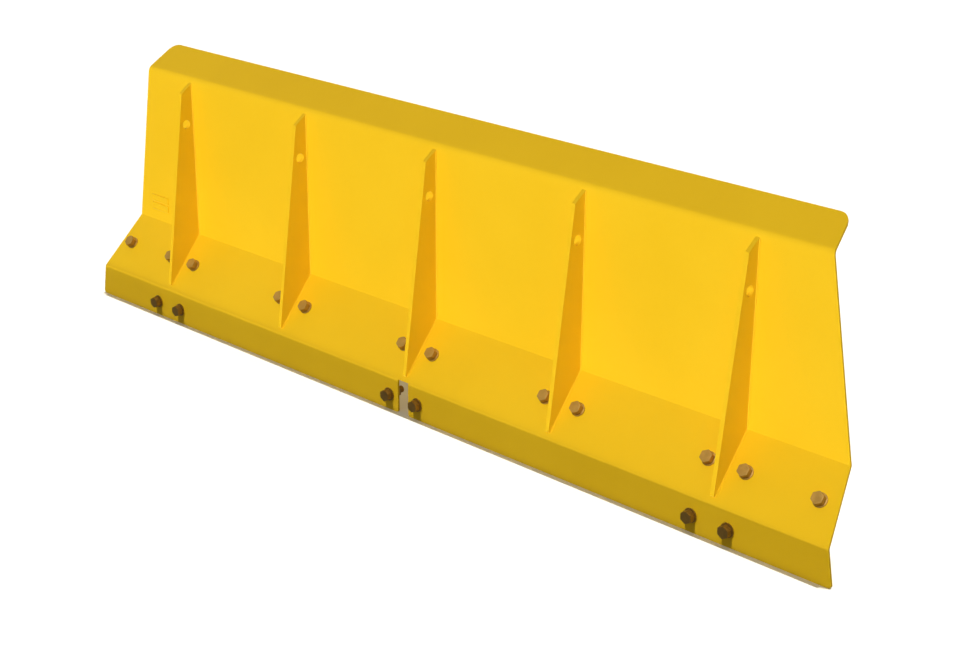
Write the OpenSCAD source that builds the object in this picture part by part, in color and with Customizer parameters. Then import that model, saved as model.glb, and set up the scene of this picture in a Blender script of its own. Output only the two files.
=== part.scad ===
// Bolt-on barrier guard: one bent steel plate with a jersey-shaped front,
// five welded gusset ribs and eighteen M20 bolt sets. Millimetres.
// X runs along the guard, -Y is the traffic side, +Z is up.
// The origin is on the back of the toe, mid-length, level with the toe bolts.

/* [Plate] */
// Length of the bottom edge
bottom_width = 2800; // [1500:10:4000]
// Thickness of the bent plate
plate_thickness = 6; // [4:0.5:12]
// Height of the upright toe
toe_height = 98; // [75:1:160]
// Length of the sloping leg
slope_length = 200; // [150:1:300]
// How far the slope leans back from upright, degrees
slope_lean = 40; // [30:0.5:50]
// Height of the steep face above the fold
face_height = 500; // [350:1:800]
// Length of the top lip
lip_length = 112; // [60:1:160]
// How far the lip rises above level, degrees
lip_rise = 35; // [10:0.5:60]
// How far the ends lean in as they go up, degrees
end_rake_up = 10.2; // [0:0.1:20]
// How far the ends lean in as they go back, degrees
end_rake_back = 4.2; // [0:0.1:12]

/* [Bends and corners] */
// Outside radius of the bend between toe and slope
toe_bend_radius = 14; // [8:0.5:30]
// Inside radius of the fold between slope and face
fold_radius = 3; // [1:0.5:8]
// Outside radius of the bend between face and lip
lip_bend_radius = 22; // [10:0.5:24]
// Radius of the two far corners of the lip
lip_corner_radius = 34; // [5:1:50]
// Radius of the two bottom corners of the toe
toe_corner_radius = 9; // [2:0.5:20]

/* [Toe notch] */
// Width of the notch in the middle of the toe
notch_width = 40; // [20:1:80]
// How far the notch runs past the corner between toe and slope
notch_rise = 1; // [0:0.5:8]
// Radius where the notch sides meet the bottom edge
notch_corner_radius = 6; // [2:0.5:15]

/* [Ribs] */
// Number of gusset ribs
rib_count = 5; // [1:2:9]
// Distance from one rib to the next
rib_pitch = 525; // [250:5:800]
// Thickness of a rib
rib_thickness = 12; // [8:0.5:20]
// Gap from a rib's top to where the lip bend starts
rib_top_gap = 1.5; // [1:0.5:60]
// How far the top of a rib stands out from the face
rib_top_depth = 39.4; // [20:0.1:80]
// Gap from a rib's foot to where the toe bend starts
rib_foot_gap = 11.4; // [2:0.1:60]
// Height of the blunt nose at the end of the foot
rib_nose = 7; // [3:0.5:20]
// Diameter of the eye near the top of a rib
eye_diameter = 28; // [14:0.5:34]
// How far the eye's centre is below a rib's top
eye_drop = 125.5; // [60:0.5:200]
// Distance from the face to the eye's centre
eye_setback = 27; // [22:0.5:40]
// Leg of the fillet weld on each side of a rib
weld_leg = 3; // [2:0.5:8]

/* [Bolt places] */
// Distance from a rib's middle plane to the bolts beside it
bolt_offset = 55; // [40:1:120]
// Height of the slope bolts, measured up the slope
slope_bolt_run = 100; // [50:1:150]
// Height of the toe bolts above the bottom edge
toe_bolt_height = 46; // [30:1:60]
// Every how many ribs the toe has a bolt pair
toe_bolt_every = 2; // [1:1:4]

/* [Bolt sets] */
// Shank diameter of a bolt
bolt_diameter = 20; // [16:1:24]
// Width of head and nut across flats
hex_flats = 30; // [24:1:36]
// Height of a bolt head
head_height = 17; // [10:0.5:20]
// Outside diameter of the washer under a head
head_washer_diameter = 38; // [36:0.5:50]
// Thickness of the washer under a head
head_washer_thickness = 4; // [2:0.5:6]
// Outside diameter of the washer under a nut
nut_washer_diameter = 37; // [34:0.5:50]
// Thickness of the washer under a nut
nut_washer_thickness = 5; // [2:0.5:6]
// Height of a nut
nut_height = 20; // [12:0.5:24]
// How far the shank stands out past the nut
shank_overhang = 18; // [1:0.5:40]

/* [Marking bars] */
// Length of a raised marking bar
bar_length = 82; // [40:1:150]
// Height of the upper bar
upper_bar_height = 23; // [10:1:40]
// Height of the lower bar
lower_bar_height = 24; // [10:1:40]
// Gap between the two bars
bar_gap = 4; // [2:0.5:15]
// How far the bars stand out from the face
bar_thickness = 3; // [1:0.5:6]
// Height of the lower bar's bottom edge above the fold
bar_bottom = 33; // [10:1:80]
// Distance from the left-hand end of the fold to the bars
bar_inset = 66; // [30:1:120]

/* [Clearances] */
// Hole in the plate, over the bolt's diameter
hole_clearance = 2; // [1:0.5:4]
// Bore of a washer, over the bolt's diameter
washer_clearance = 1; // [0.5:0.5:2]
// Bore of a nut, over the bolt's diameter
thread_clearance = 0.2; // [0.1:0.1:0.5]

/* [Hidden] */
$fn = 96;
hex_sides = 6;
hex_turn = 30;
quarter = 90;
past = 10;         // how far a cutter runs past what it cuts
graze = 0.05;      // how far inside an edge its corner's rounding starts
bend_steps = 10;   // flats round a bend

// Leg directions in the Y-Z plane, degrees up from +Y
toe_dir = quarter;
slope_dir = quarter - slope_lean;
face_dir = quarter;
lip_dir = lip_rise;

// Corners of the front outline, [y, z]
toe_foot = [-plate_thickness, -toe_bolt_height];
toe_corner = toe_foot + [0, toe_height];
fold_corner = toe_corner + slope_length * [cos(slope_dir), sin(slope_dir)];
lip_corner = fold_corner + [0, face_height];
lip_end = lip_corner + lip_length * [cos(lip_dir), sin(lip_dir)];

// Bends: the straight length each takes from its two legs, and its centre
toe_take = toe_bend_radius * tan((toe_dir - slope_dir) / 2);
fold_take = fold_radius * tan((face_dir - slope_dir) / 2);
lip_take = lip_bend_radius * tan((face_dir - lip_dir) / 2);
toe_centre = toe_corner + [toe_bend_radius, -toe_take];
fold_centre = fold_corner + [-fold_radius, fold_take];
lip_centre = lip_corner + [lip_bend_radius, -lip_take];

// The plate's outline at a depth behind its front, from toe to lip
function arc(centre, radius, from, to) = [for (i = [0:bend_steps])
    let (a = from + (to - from) * i / bend_steps) centre + radius * [cos(a), sin(a)]];
function straight_back(dir) = [sin(dir), -cos(dir)];
function outline(depth) = concat([toe_foot + depth * straight_back(toe_dir)],
    arc(toe_centre, toe_bend_radius - depth, toe_dir + quarter, slope_dir + quarter),
    arc(fold_centre, fold_radius + depth, slope_dir - quarter, face_dir - quarter),
    arc(lip_centre, lip_bend_radius - depth, face_dir + quarter, lip_dir + quarter),
    [lip_end + depth * straight_back(lip_dir)]);
function reversed(list) = [for (i = [len(list) - 1:-1:0]) list[i]];

// The raked end plane: half length of the plate at a point [y, z]
rake_back = tan(end_rake_back);
rake_up = tan(end_rake_up);
function half_at(p) = bottom_width / 2 - rake_back * (p[0] - toe_foot[0])
    - rake_up * (p[1] - toe_foot[1]);
// Against a leg, the end plane tips over by one angle and leans in by the other
function tip_on(dir) = atan(rake_up * cos(dir) - rake_back * sin(dir));
function lean_on(dir) = atan((rake_back * cos(dir) + rake_up * sin(dir)) * cos(tip_on(dir)));

// Sizes that follow from the plate
notch_height = toe_height + notch_rise;
rib_height = face_height - lip_take - rib_top_gap;
rib_foot = slope_length - toe_take - rib_foot_gap;
eye_height = rib_height - eye_drop;

// Places along the guard
rib_x = [for (i = [1:rib_count]) (i - (rib_count + 1) / 2) * rib_pitch];
slope_bolt_x = concat([for (x = rib_x, side = [-1, 1]) x + side * bolt_offset],
    [for (side = [-1, 1]) side * rib_count * rib_pitch / 2]);
toe_bolt_x = [for (i = [0:rib_count - 1], side = [-1, 1])
    if (i % toe_bolt_every == 0) rib_x[i] + side * bolt_offset];

// Stack of a bolt set, measured out from the plate's front
head_bottom = head_washer_thickness;
nut_washer_back = -plate_thickness - nut_washer_thickness;
nut_back = nut_washer_back - nut_height;
shank_back = nut_back - shank_overhang;
hex_radius = hex_flats / 2 / cos(hex_turn);

fold_angle = 2 * quarter - (face_dir - slope_dir);
bar_x = -half_at(fold_corner) + bar_inset;
reach = bottom_width;

// Colours
paint = [0.95, 0.75, 0.13];
rib_paint = [0.90, 0.64, 0.09];
weld_paint = [0.85, 0.62, 0.10];
bronze = [0.52, 0.39, 0.17];

// Stand children on one leg: x along the guard, y up the leg, z out of its front
module on_leg(p, dir) { translate([0, p[0], p[1]]) rotate([dir, 0, 0]) children(); }
module on_toe() { on_leg(toe_foot, toe_dir) children(); }
module on_slope() { on_leg(toe_corner, slope_dir) children(); }
module on_face() { on_leg(fold_corner, face_dir) children(); }
module on_lip() { on_leg(lip_corner, lip_dir) children(); }

// Draw a Y-Z outline along X
module along_x(length) { rotate([quarter, 0, quarter]) linear_extrude(length, center = true) children(); }

// The bit of a sharp corner outside its rounding: edges at 0 and at angle
module spandrel(angle, radius, over) {
    run = radius / tan(angle / 2);
    tip = -over / sin(angle / 2);
    difference() {
        polygon([[run, 0], [run, -over], tip * [cos(angle / 2), sin(angle / 2)],
            run * [cos(angle), sin(angle)] + over * [-sin(angle), cos(angle)],
            run * [cos(angle), sin(angle)], [run, radius]]);
        translate([run, radius]) circle(radius);
    }
}

module end_cut() {
    translate([bottom_width / 2, toe_foot[0], toe_foot[1]])
        rotate([0, -lean_on(toe_dir), end_rake_back])
            translate([0, -reach / 2, -reach / 2]) cube(reach);
}
module through(radius, x, y) {
    translate([x, y, -plate_thickness - past]) cylinder(h = plate_thickness + 2 * past, r = radius);
}
module corner_cut(x, y, tip, turn, angle, radius) {
    translate([x, y, 0]) rotate([0, -tip, turn]) translate([0, 0, -plate_thickness - past])
        linear_extrude(plate_thickness + 2 * past) spandrel(angle, radius, past);
}

module guard_plate() {
    hole = (bolt_diameter + hole_clearance) / 2;
    color(paint) difference() {
        along_x(bottom_width + past) polygon(concat(outline(0), reversed(outline(plate_thickness))));
        for (side = [0, 1]) mirror([side, 0, 0]) {
            end_cut();
            on_lip() corner_cut(half_at(lip_end) - graze, lip_length - graze, tip_on(lip_dir),
                2 * quarter, quarter + lean_on(lip_dir), lip_corner_radius);
            on_toe() corner_cut(half_at(toe_foot) - graze, graze, tip_on(toe_dir),
                quarter + lean_on(toe_dir), quarter - lean_on(toe_dir), toe_corner_radius);
            on_toe() corner_cut(notch_width / 2 + graze, graze, 0, 0, quarter, notch_corner_radius);
        }
        on_toe() translate([-notch_width / 2, -past, -plate_thickness - past])
            cube([notch_width, notch_height + past, plate_thickness + 2 * past]);
        on_toe() for (x = toe_bolt_x) through(hole, x, toe_bolt_height);
        on_slope() for (x = slope_bolt_x) through(hole, x, slope_bolt_run);
    }
}

// Outline of a rib, [y, z] from the fold
rib_top_drop = rib_top_depth * tan(lip_rise);
foot_at = -rib_foot * [cos(slope_dir), sin(slope_dir)];
nose_at = foot_at + rib_nose * [-sin(slope_dir), cos(slope_dir)];
fold_arc = arc(fold_centre - fold_corner, fold_radius, slope_dir - quarter, face_dir - quarter);
module fold_fill(length) {
    along_x(length) translate(fold_corner) rotate(quarter) spandrel(fold_angle, fold_radius, past);
}
module rib(i) {
    color(rib_paint) translate([rib_x[i - 1], 0, 0]) difference() {
        along_x(rib_thickness) translate(fold_corner) polygon(concat(reversed(fold_arc),
            [foot_at, nose_at, [-rib_top_depth, rib_height - rib_top_drop], [0, rib_height]]));
        translate([0, fold_corner[0] - eye_setback, fold_corner[1] + eye_height])
            rotate([0, quarter, 0]) cylinder(h = rib_thickness + past, d = eye_diameter, center = true);
    }
}

// Fillet welds down both sides of a rib
module weld_run(length) {
    translate([rib_thickness / 2, length, 0]) rotate([quarter, 0, 0]) linear_extrude(length)
        polygon([[0, 0], [weld_leg, 0], [0, weld_leg]]);
}
module rib_welds(i) {
    color(weld_paint) translate([rib_x[i - 1], 0, 0]) for (side = [0, 1]) mirror([side, 0, 0])
        difference() {
            union() {
                on_face() weld_run(rib_height);
                on_slope() translate([0, slope_length - rib_foot, 0]) weld_run(rib_foot);
            }
            fold_fill(rib_thickness + 2 * weld_leg + past);
        }
}

module marking_bar(bottom, height) {
    color(paint) on_face() translate([bar_x, bottom, 0]) cube([bar_length, height, bar_thickness]);
}
module marking_bar_lower() { marking_bar(bar_bottom, lower_bar_height); }
module marking_bar_upper() { marking_bar(bar_bottom + lower_bar_height + bar_gap, upper_bar_height); }

// One bolt set, z out of the plate's front
module bolt() {
    translate([0, 0, head_bottom]) rotate(hex_turn) cylinder(h = head_height, r = hex_radius, $fn = hex_sides);
    translate([0, 0, shank_back]) cylinder(h = head_bottom - shank_back, d = bolt_diameter);
}
module ring(bottom, height, outer, inner) {
    translate([0, 0, bottom]) difference() {
        cylinder(h = height, d = outer);
        translate([0, 0, -past]) cylinder(h = height + 2 * past, d = inner);
    }
}
module head_washer() { ring(0, head_washer_thickness, head_washer_diameter, bolt_diameter + washer_clearance); }
module nut_washer() {
    ring(nut_washer_back, nut_washer_thickness, nut_washer_diameter, bolt_diameter + washer_clearance);
}
module nut() {
    translate([0, 0, nut_back]) difference() {
        rotate(hex_turn) cylinder(h = nut_height, r = hex_radius, $fn = hex_sides);
        translate([0, 0, -past]) cylinder(h = nut_height + 2 * past, d = bolt_diameter + thread_clearance);
    }
}
module at_slope_bolts() { on_slope() for (x = slope_bolt_x) translate([x, slope_bolt_run, 0]) children(); }
module at_toe_bolts() { on_toe() for (x = toe_bolt_x) translate([x, toe_bolt_height, 0]) children(); }

module slope_bolts() { color(bronze) at_slope_bolts() bolt(); }
module slope_head_washers() { color(bronze) at_slope_bolts() head_washer(); }
module slope_nut_washers() { color(bronze) at_slope_bolts() nut_washer(); }
module slope_nuts() { color(bronze) at_slope_bolts() nut(); }
module toe_bolts() { color(bronze) at_toe_bolts() bolt(); }
module toe_head_washers() { color(bronze) at_toe_bolts() head_washer(); }
module toe_nut_washers() { color(bronze) at_toe_bolts() nut_washer(); }
module toe_nuts() { color(bronze) at_toe_bolts() nut(); }

guard_plate();
for (i = [1:rib_count]) {
    rib(i);
    rib_welds(i);
}
marking_bar_upper();
marking_bar_lower();
slope_bolts();
slope_head_washers();
slope_nut_washers();
slope_nuts();
toe_bolts();
toe_head_washers();
toe_nut_washers();
toe_nuts();
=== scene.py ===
"""Looks for a bolt-on barrier guard.

A bent yellow plate, five gusset ribs with weld beads, and bronze-brown bolt sets. Everything is in metres,
in the frame of the CAD model: X along the guard, -Y its front, +Z up.
"""

import math

import bpy
import numpy as np
from mathutils import Matrix, Vector


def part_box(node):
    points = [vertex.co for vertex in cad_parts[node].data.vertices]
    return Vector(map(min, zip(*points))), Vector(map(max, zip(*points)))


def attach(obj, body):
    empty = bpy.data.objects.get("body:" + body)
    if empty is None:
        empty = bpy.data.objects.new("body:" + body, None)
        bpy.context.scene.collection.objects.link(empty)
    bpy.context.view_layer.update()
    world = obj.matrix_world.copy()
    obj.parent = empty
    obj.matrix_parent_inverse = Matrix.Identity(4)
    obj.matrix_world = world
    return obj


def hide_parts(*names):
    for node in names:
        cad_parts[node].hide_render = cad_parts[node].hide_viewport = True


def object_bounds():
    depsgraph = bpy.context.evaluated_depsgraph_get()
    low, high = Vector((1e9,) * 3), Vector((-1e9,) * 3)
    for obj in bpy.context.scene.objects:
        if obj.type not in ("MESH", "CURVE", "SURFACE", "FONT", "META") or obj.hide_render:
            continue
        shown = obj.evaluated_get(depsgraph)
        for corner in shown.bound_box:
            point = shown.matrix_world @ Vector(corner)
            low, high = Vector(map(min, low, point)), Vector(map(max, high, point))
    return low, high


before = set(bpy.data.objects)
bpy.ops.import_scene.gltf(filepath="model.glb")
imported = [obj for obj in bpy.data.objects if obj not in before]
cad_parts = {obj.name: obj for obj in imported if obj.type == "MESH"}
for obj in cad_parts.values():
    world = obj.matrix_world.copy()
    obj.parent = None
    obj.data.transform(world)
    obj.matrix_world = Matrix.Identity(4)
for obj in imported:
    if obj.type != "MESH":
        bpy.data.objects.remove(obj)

MM = 0.001
cad_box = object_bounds()

# How the guard stands: the slope leans back from upright, the toe and the steep face are upright
SLOPE_LEAN = math.radians(40)
TOE_TURN = Matrix.Rotation(math.radians(90), 4, "X")
SLOPE_TURN = Matrix.Rotation(math.radians(90) - SLOPE_LEAN, 4, "X")

RIB_COUNT = 5

# Meshes
MERGE_GAP = 0.00001
FLAT_ANGLE = math.radians(0.6)
SHARP_ANGLE = math.radians(40)
SMOOTH_ANGLE = math.radians(32)
FRONT_FACING = -0.9

# Edge roundings
PLATE_EDGE = 0.9 * MM
RIB_EDGE = 0.8 * MM
WASHER_EDGE = 0.6 * MM
FINE_EDGE = 0.35 * MM

# Raised bars: a chamfer below, and a panel sunk inside a rim
BAR_CHAMFER = 2.8 * MM
BAR_RIM = 2.6 * MM
BAR_STEP = 0.5 * MM
BAR_SINK = 0.7 * MM

# Weld beads
BEAD_SIDES = 12
BEAD_SHARE = 0.92
RIPPLE_PITCH = 3.6 * MM
RIPPLE_RINGS = 4
RIPPLE_HEIGHT = 0.3 * MM
RIPPLE_MIDDLE = 0.8
BAND_REPEAT = math.tau / 10

# Bolts, washers and nuts
ROUND_SIDES = 40
HEX_SIDES = 6
HEX_HALF_CORNER = math.radians(30)
HEX_SHARP_ANGLE = math.radians(25)
CHAMFER_SHARE = 0.45
CHAMFER_SLOPE = math.radians(30)
TURNED_ROOM = 1.001
WASHER_BORE_ROOM = 1.05
NUT_BORE_ROOM = 1.005
SHANK_LAP = 1 * MM
THREAD_PITCH = 2.5 * MM
THREAD_DEPTH = 1.2 * MM
THREADED_LENGTH = 30 * MM
ONE_BOLT_REACH = 0.05

# Colours
PAINT_TONES = (0.848, 0.512, 0.011), (0.877, 0.535, 0.0125)
PAINT_DUST = (0.74, 0.47, 0.03)
BRONZE_TONES = (0.375, 0.203, 0.032), (0.46, 0.254, 0.042)
FLOOR_COLOUR = (0.80, 0.76, 0.66, 1)
FLOOR_GLOW_COLOUR = (1.0, 0.80, 0.40, 1)
FLOOR_GLOW = 0.10

# Where the camera stands, from the fold at the middle of the guard
EYE_ALONG = 3.259
EYE_IN_FRONT = 3.280
EYE_ABOVE = 1.8045
HEADING = math.radians(42.93)
TILT = math.radians(68.417)
ROLL = math.radians(0.418)
LENS = 65.53
SENSOR = 36.0

# Floor, and the unseen cards that hold its shade close to the guard's foot
FLOOR_SIZE = 60
CARD_END_GAP = 0.025
CARD_OVERHANG = 0.014
CARD_RISE = 0.012
TOE_CARD_DEPTH = 0.03
NOTCH_CARD_WIDTH = 0.4
NOTCH_CARD_DEPTH = 0.235

# Sky, in two shades that meet at the horizon
SKY_STRENGTH = 0.325
GROUND_STRENGTH = 0.15
HORIZON_BLEND = 0.12

# Front box, which ends at the toe bend, and the strip that lights the toe below it
BEND_LEVEL = 0.052
FRONT_HEADING = 17
FRONT_DISTANCE = 1.3
FRONT_BOX_WIDTH = 3.4
FRONT_BOX_HEIGHT = 0.85
FRONT_POWER = 8.15
FRONT_SPREAD = 1.2
STRIP_RISE = 62
STRIP_DISTANCE = 0.9
STRIP_WIDTH = 3.0
STRIP_POWER = 0.355
STRIP_SPREAD = 1.0

# Even lights from above; their tilts are in degrees from straight down
SUN_HEIGHT = 5
FLOOR_SUN_POWER = 4.0
FLOOR_SUN_COLOUR = (0.85, 0.92, 1.0)
FLOOR_SUN_ANGLE = 9
FLOOR_SUN_TILT = (-6, 6)
BOLT_SUN_POWER = 2.6
BOLT_SUN_ANGLE = 12
BOLT_SUN_TILT = (38, 12)
BACK_SUN_POWER = 1.7
BACK_SUN_ANGLE = 25
BACK_SUN_TILT = (-62, 0)


# ---------------------------------------------------------------- selecting and placing

def select_only(obj):
    """Makes obj the one selected and active object."""
    bpy.ops.object.select_all(action="DESELECT")
    obj.select_set(True)
    bpy.context.view_layer.objects.active = obj
    return obj


def name_new(name):
    """Names the object that an operator has just added."""
    obj = bpy.context.object
    obj.name = name
    obj.data.name = name
    return obj


def apply_place(obj):
    """Moves an object's place into its mesh, so that it sits at the origin."""
    select_only(obj)
    bpy.ops.object.transform_apply(location=True, rotation=True, scale=True)
    return obj


def apply_modifier(obj, kind, name, **settings):
    """Adds a modifier with these settings and applies it."""
    select_only(obj)
    modifier = obj.modifiers.new(name, kind)
    for key, value in settings.items():
        setattr(modifier, key, value)
    bpy.ops.object.modifier_apply(modifier=modifier.name)
    return obj


def join(objects, name):
    """Joins objects into the first of them."""
    bpy.ops.object.select_all(action="DESELECT")
    for obj in objects:
        obj.select_set(True)
    bpy.context.view_layer.objects.active = objects[0]
    if len(objects) > 1:
        bpy.ops.object.join()
    return name_new(name)


def remove(obj):
    """Deletes a helper object and its mesh."""
    mesh = obj.data
    bpy.data.objects.remove(obj)
    bpy.data.meshes.remove(mesh)


def choose(obj, mode, test):
    """Selects the faces, edges or vertices that pass a test of their place, and stays in edit mode."""
    mesh = obj.data
    select_only(obj)
    bpy.ops.object.mode_set(mode="EDIT")
    bpy.ops.mesh.select_mode(type=mode)
    bpy.ops.mesh.select_all(action="DESELECT")
    bpy.ops.object.mode_set(mode="OBJECT")
    if mode == "FACE":
        for face in mesh.polygons:
            face.select = test(face.center, face.normal)
    elif mode == "EDGE":
        for edge in mesh.edges:
            a, b = (mesh.vertices[i].co for i in edge.vertices)
            edge.select = test(a, b)
    else:
        for vertex in mesh.vertices:
            vertex.select = test(vertex.co)
    bpy.ops.object.mode_set(mode="EDIT")


def finish_edit():
    """Goes back to object mode."""
    bpy.ops.object.mode_set(mode="OBJECT")


def outward(obj):
    """Merges doubles and points every face outwards."""
    select_only(obj)
    bpy.ops.object.mode_set(mode="EDIT")
    bpy.ops.mesh.select_all(action="SELECT")
    bpy.ops.mesh.remove_doubles(threshold=MERGE_GAP)
    bpy.ops.mesh.normals_make_consistent(inside=False)
    finish_edit()
    return obj


def smooth(obj):
    """Shades an object smooth, apart from its sharp edges."""
    select_only(obj)
    bpy.ops.object.shade_smooth_by_angle(angle=SMOOTH_ANGLE)
    return obj


def dress(obj, material):
    """Gives a piece its one material."""
    obj.data.materials.clear()
    obj.data.materials.append(material)
    return obj


def hand_over(obj, material, slot, *nodes):
    """Finishes a piece: its material, its body and the CAD nodes that it stands for. The slot is not used.
    """
    dress(obj, material)
    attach(obj, "root")
    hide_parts(*nodes)
    return obj


# ---------------------------------------------------------------- reading the CAD pieces

def solid_copy(node, name):
    """A merged copy of a CAD node's mesh, with its flat faces made whole."""
    copy = bpy.data.objects.new(name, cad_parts[node].data.copy())
    bpy.context.scene.collection.objects.link(copy)
    select_only(copy)
    bpy.ops.mesh.customdata_custom_splitnormals_clear()
    bpy.ops.object.mode_set(mode="EDIT")
    bpy.ops.mesh.select_all(action="SELECT")
    bpy.ops.mesh.remove_doubles(threshold=MERGE_GAP)
    bpy.ops.mesh.dissolve_limited(angle_limit=FLAT_ANGLE)
    finish_edit()
    return copy


def seats(node, turn):
    """Where each solid of a CAD node sits, as its middle, its span up the turned Z axis and its radius."""
    solid_copy(node, "probe")
    bpy.ops.object.mode_set(mode="EDIT")
    bpy.ops.mesh.separate(type="LOOSE")
    finish_edit()
    found = []
    back = turn.inverted()
    for part in list(bpy.context.selected_objects):
        co = np.array([back @ v.co for v in part.data.vertices])
        low, high = co.min(0), co.max(0)
        middle = (low + high) / 2
        radius = max(high[0] - low[0], high[1] - low[1]) / 2
        found.append({"x": middle[0], "y": middle[1], "low": low[2], "high": high[2], "radius": radius})
        remove(part)
    return sorted(found, key=lambda seat: seat["x"])


def repeat(model, places, turn, name):
    """Puts a copy of a model, each with its own mesh, at every place, and joins them."""
    copies = []
    for place in places:
        copy = model.copy()
        copy.data = model.data.copy()
        bpy.context.scene.collection.objects.link(copy)
        copy.data.transform(turn @ Matrix.Translation((place["x"], place["y"], place["low"])))
        copies.append(copy)
    remove(model)
    return smooth(join(copies, name))


def rib_foot_and_fold(index):
    """The lowest point of a rib, and the height of the fold between the slope and the steep face."""
    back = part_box(f"rib_{index}")[1].y
    foot = min((v.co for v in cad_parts[f"rib_{index}"].data.vertices), key=lambda co: co.z)
    return foot, foot.z + (back - foot.y) / math.tan(SLOPE_LEAN)


def find_shank_radius(group, turn):
    """The shank's radius, from the end of a row's first bolt."""
    back = turn.inverted()
    co = np.array([back @ v.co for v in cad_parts[f"{group}_bolts"].data.vertices])
    end = co[co[:, 2] < co[:, 2].min() + MERGE_GAP]
    first = end[end[:, 0] < end[:, 0].min() + ONE_BOLT_REACH]
    return (first[:, 0].max() - first[:, 0].min()) / 2


# ---------------------------------------------------------------- materials

def shader(name, metallic=0.0, roughness=0.5, specular=0.5):
    """A new material with a Principled shader, and its node tree."""
    material = bpy.data.materials.new(name)
    material.use_nodes = True
    tree = material.node_tree
    principled = tree.nodes["Principled BSDF"]
    principled.inputs["Metallic"].default_value = metallic
    principled.inputs["Roughness"].default_value = roughness
    principled.inputs["Specular IOR Level"].default_value = specular
    return material, tree, principled


def noise(tree, coordinates, scale, detail):
    """A cloud pattern, from 0 to 1."""
    node = tree.nodes.new("ShaderNodeTexNoise")
    node.inputs["Scale"].default_value = scale
    node.inputs["Detail"].default_value = detail
    tree.links.new(coordinates, node.inputs["Vector"])
    return node.outputs["Fac"]


def spread(tree, value, low, high, out_low, out_high):
    """Maps a value from one range to another, held at its ends."""
    node = tree.nodes.new("ShaderNodeMapRange")
    for socket, number in zip(("From Min", "From Max", "To Min", "To Max"), (low, high, out_low, out_high)):
        node.inputs[socket].default_value = number
    tree.links.new(value, node.inputs["Value"])
    return node.outputs["Result"]


def blend_colours(tree, factor, first, second):
    """A blend of two colours, each fixed or from another node."""
    node = tree.nodes.new("ShaderNodeMix")
    node.data_type = "RGBA"
    tree.links.new(factor, node.inputs["Factor"])
    for socket, colour in (("A", first), ("B", second)):
        target = next(i for i in node.inputs if i.name == socket and i.type == "RGBA")
        if isinstance(colour, tuple):
            target.default_value = (*colour, 1.0)
        else:
            tree.links.new(colour, target)
    return next(o for o in node.outputs if o.type == "RGBA")


def bumps(tree, principled, layers):
    """Chains bump layers of (height, strength, distance) into the shader's normal."""
    normal = None
    for height, strength, distance in layers:
        node = tree.nodes.new("ShaderNodeBump")
        node.inputs["Strength"].default_value = strength
        node.inputs["Distance"].default_value = distance
        tree.links.new(height, node.inputs["Height"])
        if normal:
            tree.links.new(normal, node.inputs["Normal"])
        normal = node.outputs["Normal"]
    tree.links.new(normal, principled.inputs["Normal"])


def yellow_paint():
    """Satin safety-yellow paint: faint cloudiness, orange peel and a slow wave from the rolled plate."""
    material, tree, principled = shader("yellow_paint", roughness=0.45, specular=0.12)
    place = tree.nodes.new("ShaderNodeTexCoord").outputs["Object"]
    cloud = noise(tree, place, 3.5, detail=5.0)
    speck = noise(tree, place, 240.0, detail=3.0)
    peel = noise(tree, place, 900.0, detail=2.0)
    wave = noise(tree, place, 9.0, detail=2.0)
    tone = blend_colours(tree, spread(tree, cloud, 0.35, 0.65, 0.0, 1.0), *PAINT_TONES)
    dust = blend_colours(tree, spread(tree, speck, 0.60, 0.78, 0.0, 0.22), tone, PAINT_DUST)
    tree.links.new(dust, principled.inputs["Base Color"])
    tree.links.new(spread(tree, cloud, 0.3, 0.7, 0.38, 0.50), principled.inputs["Roughness"])
    bumps(tree, principled, [(wave, 0.02, 0.004), (peel, 0.10, 0.0004)])
    return material


def bronze_coat():
    """Bronze-brown coated steel, a little rubbed."""
    material, tree, principled = shader("bronze_coat", metallic=0.25, roughness=0.45, specular=0.4)
    place = tree.nodes.new("ShaderNodeTexCoord").outputs["Object"]
    cloud = noise(tree, place, 60.0, detail=5.0)
    grain = noise(tree, place, 1400.0, detail=3.0)
    tone = blend_colours(tree, spread(tree, cloud, 0.35, 0.68, 0.0, 1.0), *BRONZE_TONES)
    tree.links.new(tone, principled.inputs["Base Color"])
    tree.links.new(spread(tree, cloud, 0.3, 0.7, 0.36, 0.52), principled.inputs["Roughness"])
    bumps(tree, principled, [(grain, 0.2, 0.0003)])
    return material


# ---------------------------------------------------------------- plate and ribs

def eased_copy(node, name, radius):
    """A CAD node's shape with its sharp edges eased."""
    piece = solid_copy(node, name)
    apply_modifier(piece, "BEVEL", "eased", width=radius, segments=3, limit_method="ANGLE",
                   angle_limit=SHARP_ANGLE, use_clamp_overlap=True)
    smooth(piece)
    return apply_modifier(piece, "WEIGHTED_NORMAL", "even_flats", weight=100, keep_sharp=True)


def bead_run(start, end, radius, name):
    """A rippled weld bead from one point to another, made large enough for the ripple's band pattern."""
    run = end - start
    rings = int(run.length / (RIPPLE_PITCH / RIPPLE_RINGS))
    grow = BAND_REPEAT / RIPPLE_PITCH
    bpy.ops.object.select_all(action="DESELECT")
    bpy.ops.mesh.primitive_cylinder_add(vertices=BEAD_SIDES, radius=radius * grow, depth=run.length * grow)
    bead = name_new(name)
    half = run.length * grow / 2
    choose(bead, "EDGE", lambda a, b: abs(a.z - b.z) > half)
    bpy.ops.mesh.subdivide(number_cuts=rings)
    finish_edit()
    ripple = bpy.data.textures.new("ripple", "WOOD")
    ripple.wood_type = "BANDS"
    ripple.noise_basis_2 = "SIN"
    apply_modifier(bead, "DISPLACE", "ripple", texture=ripple, texture_coords="LOCAL",
                   strength=RIPPLE_HEIGHT * grow, mid_level=RIPPLE_MIDDLE)
    bead.scale = (1 / grow,) * 3
    bead.rotation_euler = run.to_track_quat("Z", "Y").to_euler()
    bead.location = (start + end) / 2
    return apply_place(bead)


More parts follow.
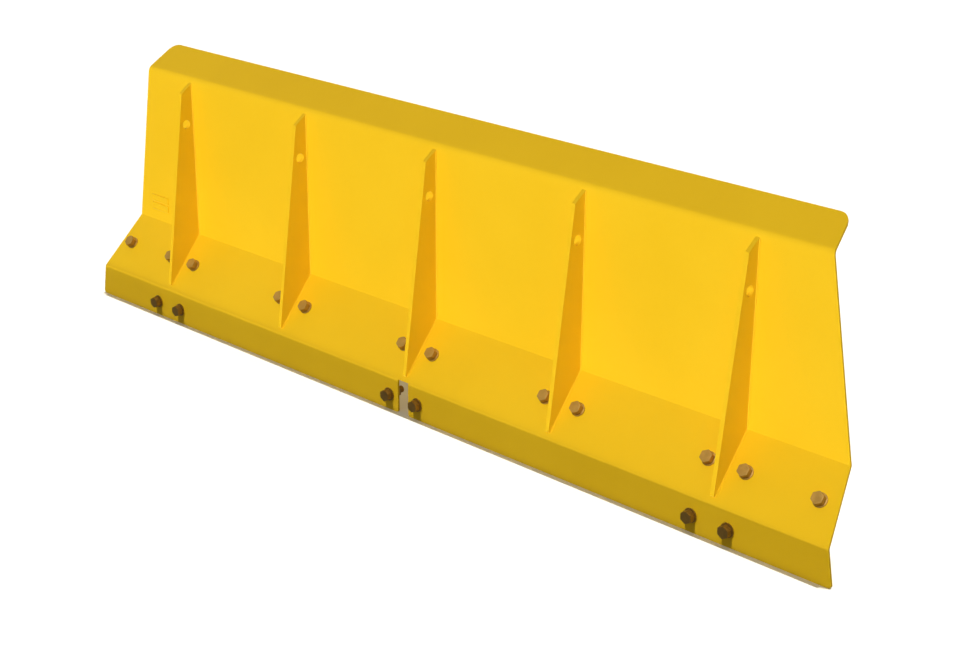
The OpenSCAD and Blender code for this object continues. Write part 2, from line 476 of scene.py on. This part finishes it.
def rib_beads(index):
    """Both weld beads of a rib, down the steep face and the slope."""
    low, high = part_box(f"rib_{index}")
    weld_low, weld_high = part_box(f"rib_{index}_welds")
    leg = (weld_high.x - weld_low.x - high.x + low.x) / 2
    foot, fold_z = rib_foot_and_fold(index)
    radius = leg * BEAD_SHARE
    beads = []
    for side, x in (("left", low.x), ("right", high.x)):
        top = Vector((x, high.y, high.z - radius))
        fold = Vector((x, high.y, fold_z))
        end = Vector((x, foot.y, foot.z)) + (fold - Vector((x, foot.y, foot.z))).normalized() * radius
        beads.append(bead_run(top, fold, radius, f"bead_{side}_face"))
        beads.append(bead_run(fold, end, radius, f"bead_{side}_slope"))
    return smooth(join(beads, f"rib_{index}_weld_beads"))


def marking_bar(node, name):
    """A raised bar with eased edges, a chamfer below and a shallow recessed panel in its face."""
    low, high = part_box(node)
    size = high - low
    middle = (low + high) / 2
    bpy.ops.object.select_all(action="DESELECT")
    bpy.ops.mesh.primitive_cube_add(size=1, location=middle, scale=size)
    bar = apply_place(name_new(name))
    choose(bar, "EDGE", lambda a, b: max(a.z, b.z) < middle.z and max(a.y, b.y) < middle.y)
    bpy.ops.mesh.bevel(offset=BAR_CHAMFER, segments=1, affect="EDGES")
    finish_edit()
    choose(bar, "FACE", lambda centre, normal: normal.y < FRONT_FACING)
    bpy.ops.mesh.inset(thickness=BAR_RIM)
    bpy.ops.mesh.inset(thickness=BAR_STEP, depth=-BAR_SINK)
    finish_edit()
    apply_modifier(bar, "BEVEL", "eased", width=FINE_EDGE, segments=2, limit_method="ANGLE",
                   angle_limit=SHARP_ANGLE)
    return smooth(bar)


# ---------------------------------------------------------------- bolt sets

def cylinder(radius, low, high, name, sides=ROUND_SIDES):
    """A cylinder up Z between two heights."""
    bpy.ops.object.select_all(action="DESELECT")
    bpy.ops.mesh.primitive_cylinder_add(vertices=sides, radius=radius, depth=high - low,
                                        location=(0, 0, (low + high) / 2))
    return apply_place(name_new(name))


def bevel_rims(obj, heights, width):
    """Rounds the edges that lie level at these heights."""
    choose(obj, "EDGE", lambda a, b: any(max(abs(a.z - h), abs(b.z - h)) < MERGE_GAP for h in heights))
    bpy.ops.mesh.bevel(offset=width, segments=2, affect="EDGES")
    finish_edit()
    return obj


def hex_block(corner_radius, height, both_ends, name):
    """A hexagon with turned chamfers, two of its corners along Y."""
    block = cylinder(corner_radius, 0, height, name, sides=HEX_SIDES)
    flats = corner_radius * math.cos(HEX_HALF_CORNER)
    turned = cylinder(corner_radius * TURNED_ROOM, 0, height, "turned")
    chamfer = (corner_radius - flats) * CHAMFER_SHARE
    for end in ([height, 0] if both_ends else [height]):
        choose(turned, "FACE", lambda centre, normal: abs(centre.z - end) < MERGE_GAP)
        bpy.ops.mesh.inset(thickness=chamfer)
        finish_edit()
        choose(turned, "VERT",
               lambda co: abs(co.z - end) < MERGE_GAP and co.xy.length > corner_radius - MERGE_GAP)
        drop = chamfer * math.tan(CHAMFER_SLOPE) * (1 if end == 0 else -1)
        bpy.ops.transform.translate(value=(0, 0, drop))
        finish_edit()
    apply_modifier(block, "BOOLEAN", "turned", operation="INTERSECT", object=turned, solver="EXACT")
    remove(turned)
    apply_modifier(block, "BEVEL", "eased", width=FINE_EDGE, segments=2, limit_method="ANGLE",
                   angle_limit=HEX_SHARP_ANGLE, use_clamp_overlap=True)
    return outward(block)


def drill(obj, radius, low, high):
    """Bores an object along Z."""
    tool = cylinder(radius, low, high, "drill")
    apply_modifier(obj, "BOOLEAN", "bore", operation="DIFFERENCE", object=tool, solver="EXACT")
    remove(tool)
    return obj


def threaded_rod(radius, low, high):
    """A shank up Z whose lower end is threaded and chamfered."""
    turns = int(THREADED_LENGTH / THREAD_PITCH)
    thread_top = low + turns * THREAD_PITCH
    rod = cylinder(radius, low, thread_top, "thread")
    choose(rod, "EDGE", lambda a, b: abs(a.z - b.z) > THREADED_LENGTH / 2)
    bpy.ops.mesh.subdivide(number_cuts=2 * turns - 1)
    finish_edit()
    step = THREAD_PITCH / 2

    def in_root(co):
        ring = round((co.z - low) / step)
        return ring % 2 == 0 and 0 <= ring < 2 * turns
    choose(rod, "VERT", in_root)
    shrink = 1 - THREAD_DEPTH / radius
    bpy.ops.transform.resize(value=(shrink, shrink, 1), center_override=(0, 0, 0))
    finish_edit()
    plain = cylinder(radius, thread_top, high, "plain_shank")
    return join([rod, plain], "shank")


def washer(seat, bore):
    """A washer with eased edges."""
    height = seat["high"] - seat["low"]
    ring = cylinder(seat["radius"], 0, height, "ring")
    drill(ring, bore, -height, 2 * height)
    bevel_rims(ring, (0, height), WASHER_EDGE)
    return outward(ring)


def bolt_set(group, turn, bronze):
    """All the bolts, washers and nuts of one row, in detail."""
    bolts = seats(f"{group}_bolts", turn)
    washers = {kind: seats(f"{group}_{kind}", turn) for kind in ("head_washers", "nut_washers")}
    nuts = seats(f"{group}_nuts", turn)
    corner = nuts[0]["radius"]
    head_low = washers["head_washers"][0]["high"] - bolts[0]["low"]
    length = bolts[0]["high"] - bolts[0]["low"]
    shank_radius = find_shank_radius(group, turn)

    head = hex_block(corner, length - head_low, False, "head")
    head.data.transform(Matrix.Translation((0, 0, head_low)))
    bolt = join([head, threaded_rod(shank_radius, 0, head_low + SHANK_LAP)], "bolt")
    bolt_row = repeat(bolt, bolts, turn, f"{group}_hex_bolts")
    hand_over(bolt_row, bronze, "bronze_bolts", f"{group}_bolts")

    for kind, places in washers.items():
        ring = washer(places[0], shank_radius * WASHER_BORE_ROOM)
        ring_row = repeat(ring, places, turn, f"{group}_{kind}_eased")
        hand_over(ring_row, bronze, "bronze_bolts", f"{group}_{kind}")

    height = nuts[0]["high"] - nuts[0]["low"]
    nut = hex_block(corner, height, True, "nut")
    drill(nut, shank_radius * NUT_BORE_ROOM, -height, 2 * height)
    nut_row = repeat(nut, nuts, turn, f"{group}_hex_nuts")
    hand_over(nut_row, bronze, "bronze_bolts", f"{group}_nuts")


# ---------------------------------------------------------------- floor, light and camera

def floor_material():
    """Pale studio floor with a faint glow, so that its shadows stay light."""
    material, _, principled = shader("pale_floor", roughness=0.9, specular=0.1)
    principled.inputs["Base Color"].default_value = FLOOR_COLOUR
    principled.inputs["Emission Color"].default_value = FLOOR_GLOW_COLOUR
    principled.inputs["Emission Strength"].default_value = FLOOR_GLOW
    return material


def lay_floor():
    """A wide floor at the guard's lowest point."""
    bpy.ops.object.select_all(action="DESELECT")
    bpy.ops.mesh.primitive_plane_add(size=FLOOR_SIZE, location=(0, 0, cad_box[0].z))
    floor = apply_place(name_new("floor"))
    dress(floor, floor_material())
    floor.visible_diffuse = False
    floor.visible_glossy = False
    return floor


def lay_shade_card(name, width, depth):
    """An unseen card just above the floor, whose shade stays close round the guard's foot."""
    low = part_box("guard_plate")[0]
    bpy.ops.object.select_all(action="DESELECT")
    middle = (0, low.y - CARD_OVERHANG + depth / 2, low.z + CARD_RISE)
    bpy.ops.mesh.primitive_plane_add(size=1, location=middle)
    card = name_new(name)
    card.scale = (width, depth, 1)
    apply_place(card)
    dress(card, floor_material())
    for kind in ("camera", "diffuse", "glossy", "transmission"):
        setattr(card, f"visible_{kind}", False)
    return card


def lay_shade_cards():
    """A strip along the toe and a deeper piece behind the notch."""
    low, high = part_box("guard_plate")
    toe_card_width = high.x - low.x - 2 * CARD_END_GAP
    return [lay_shade_card("shade_card_under_toe", toe_card_width, TOE_CARD_DEPTH),
            lay_shade_card("shade_card_by_notch", NOTCH_CARD_WIDTH, NOTCH_CARD_DEPTH)]


def softbox(name, middle, heading, rise, distance, width, height, power, spread):
    """A rectangular light aimed at a point, from a heading to the right and a rise above level."""
    light = bpy.data.lights.new(name, "AREA")
    light.shape = "RECTANGLE"
    light.size = width
    light.size_y = height
    light.energy = power
    light.spread = math.radians(spread)
    lamp = bpy.data.objects.new(name, light)
    bpy.context.scene.collection.objects.link(lamp)
    across, up = math.radians(heading), math.radians(rise)
    out = Vector((math.sin(across) * math.cos(up), -math.cos(across) * math.cos(up), math.sin(up)))
    lamp.location = Vector(middle) + distance * out
    lamp.rotation_euler = out.to_track_quat("Z", "Y").to_euler()
    lamp.visible_camera = False
    return lamp


def gather(name, objects):
    """A light-linking collection of these objects."""
    group = bpy.data.collections.new(name)
    for obj in objects:
        group.objects.link(obj)
    return group


def light_only(lamp, objects):
    """Lets a light reach these objects alone."""
    lamp.light_linking.receiver_collection = gather(f"{lamp.name}_reach", objects)


def sunlight(name, strength, angle, tilt):
    """An even light from above, tipped about X and Y from straight down."""
    light = bpy.data.lights.new(name, "SUN")
    light.energy = strength
    light.angle = math.radians(angle)
    lamp = bpy.data.objects.new(name, light)
    bpy.context.scene.collection.objects.link(lamp)
    lamp.location = (0, 0, SUN_HEIGHT)
    lamp.rotation_euler = (math.radians(tilt[0]), math.radians(tilt[1]), 0)
    return lamp


def pieces_named(*starts):
    """The mesh objects whose names start in one of these ways."""
    return [obj for obj in bpy.data.objects if obj.type == "MESH" and obj.name.startswith(starts)]


def set_sky():
    """A dim sky, a little darker below the horizon."""
    world = bpy.data.worlds.new("studio")
    world.use_nodes = True
    tree = world.node_tree
    rise = tree.nodes.new("ShaderNodeSeparateXYZ")
    tree.links.new(tree.nodes.new("ShaderNodeTexCoord").outputs["Generated"], rise.inputs["Vector"])
    grey = spread(tree, rise.outputs["Z"], -HORIZON_BLEND, HORIZON_BLEND, GROUND_STRENGTH, SKY_STRENGTH)
    tree.links.new(grey, tree.nodes["Background"].inputs["Color"])
    bpy.context.scene.world = world


def hang_lights(floor, cards):
    """A front box above the toe, a steep strip on it, and lights for the floor, the bolts and the back."""
    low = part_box("guard_plate")[0]
    painted = pieces_named("bent_plate", "gusset_rib", "rib_", "raised_bar")
    plate = [bpy.data.objects["bent_plate"]]

    box_middle = (0, low.y, BEND_LEVEL + FRONT_BOX_HEIGHT / 2)
    front = softbox("front_box", box_middle, FRONT_HEADING, 0, FRONT_DISTANCE,
                    FRONT_BOX_WIDTH, FRONT_BOX_HEIGHT, FRONT_POWER, FRONT_SPREAD)
    front.data.use_shadow = False
    light_only(front, painted)

    toe_middle = (0, low.y, (low.z + BEND_LEVEL) / 2)
    strip_height = (BEND_LEVEL - low.z) * math.cos(math.radians(STRIP_RISE))
    strip = softbox("toe_strip", toe_middle, 0, STRIP_RISE, STRIP_DISTANCE,
                    STRIP_WIDTH, strip_height, STRIP_POWER, STRIP_SPREAD)
    light_only(strip, plate)
    fixings = pieces_named("toe_", "slope_")
    strip.light_linking.blocker_collection = gather("toe_strip_stopped_by", painted + fixings)

    overhead = sunlight("floor_sun", FLOOR_SUN_POWER, FLOOR_SUN_ANGLE, FLOOR_SUN_TILT)
    overhead.data.color = FLOOR_SUN_COLOUR
    light_only(overhead, [floor])
    overhead.light_linking.blocker_collection = gather("floor_sun_stopped_by", plate + cards)

    bolt_sun = sunlight("bolt_sun", BOLT_SUN_POWER, BOLT_SUN_ANGLE, BOLT_SUN_TILT)
    light_only(bolt_sun, [bpy.data.objects["slope_hex_bolts"], bpy.data.objects["slope_head_washers_eased"]])

    behind = sunlight("back_sun", BACK_SUN_POWER, BACK_SUN_ANGLE, BACK_SUN_TILT)
    light_only(behind, painted)


def place_camera():
    """A camera in front and to the right, placed from the fold behind the middle rib."""
    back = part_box("rib_3")[1].y
    fold_z = rib_foot_and_fold(3)[1]
    data = bpy.data.cameras.new("camera")
    data.lens = LENS
    data.sensor_width = SENSOR
    camera = bpy.data.objects.new("camera", data)
    bpy.context.scene.collection.objects.link(camera)
    turn = Matrix.Rotation(HEADING, 4, "Z") @ Matrix.Rotation(TILT, 4, "X") @ Matrix.Rotation(ROLL, 4, "Z")
    eye = Vector((EYE_ALONG, back - EYE_IN_FRONT, fold_z + EYE_ABOVE))
    camera.matrix_world = Matrix.Translation(eye) @ turn
    bpy.context.scene.camera = camera


# ---------------------------------------------------------------- making it

def make_guard():
    """All the pieces, each handed over with its material and body."""
    paint, bronze = yellow_paint(), bronze_coat()
    hand_over(eased_copy("guard_plate", "bent_plate", PLATE_EDGE), paint, "yellow_paint", "guard_plate")
    for index in range(1, RIB_COUNT + 1):
        rib = eased_copy(f"rib_{index}", f"gusset_rib_{index}", RIB_EDGE)
        hand_over(rib, paint, "yellow_paint", f"rib_{index}")
        hand_over(rib_beads(index), paint, "yellow_paint", f"rib_{index}_welds")
    for place in ("upper", "lower"):
        bar = marking_bar(f"marking_bar_{place}", f"raised_bar_{place}")
        hand_over(bar, paint, "yellow_paint", f"marking_bar_{place}")
    bolt_set("slope", SLOPE_TURN, bronze)
    bolt_set("toe", TOE_TURN, bronze)


make_guard()
set_sky()
hang_lights(lay_floor(), lay_shade_cards())
place_camera()
bpy.context.scene.view_settings.view_transform = "Standard"
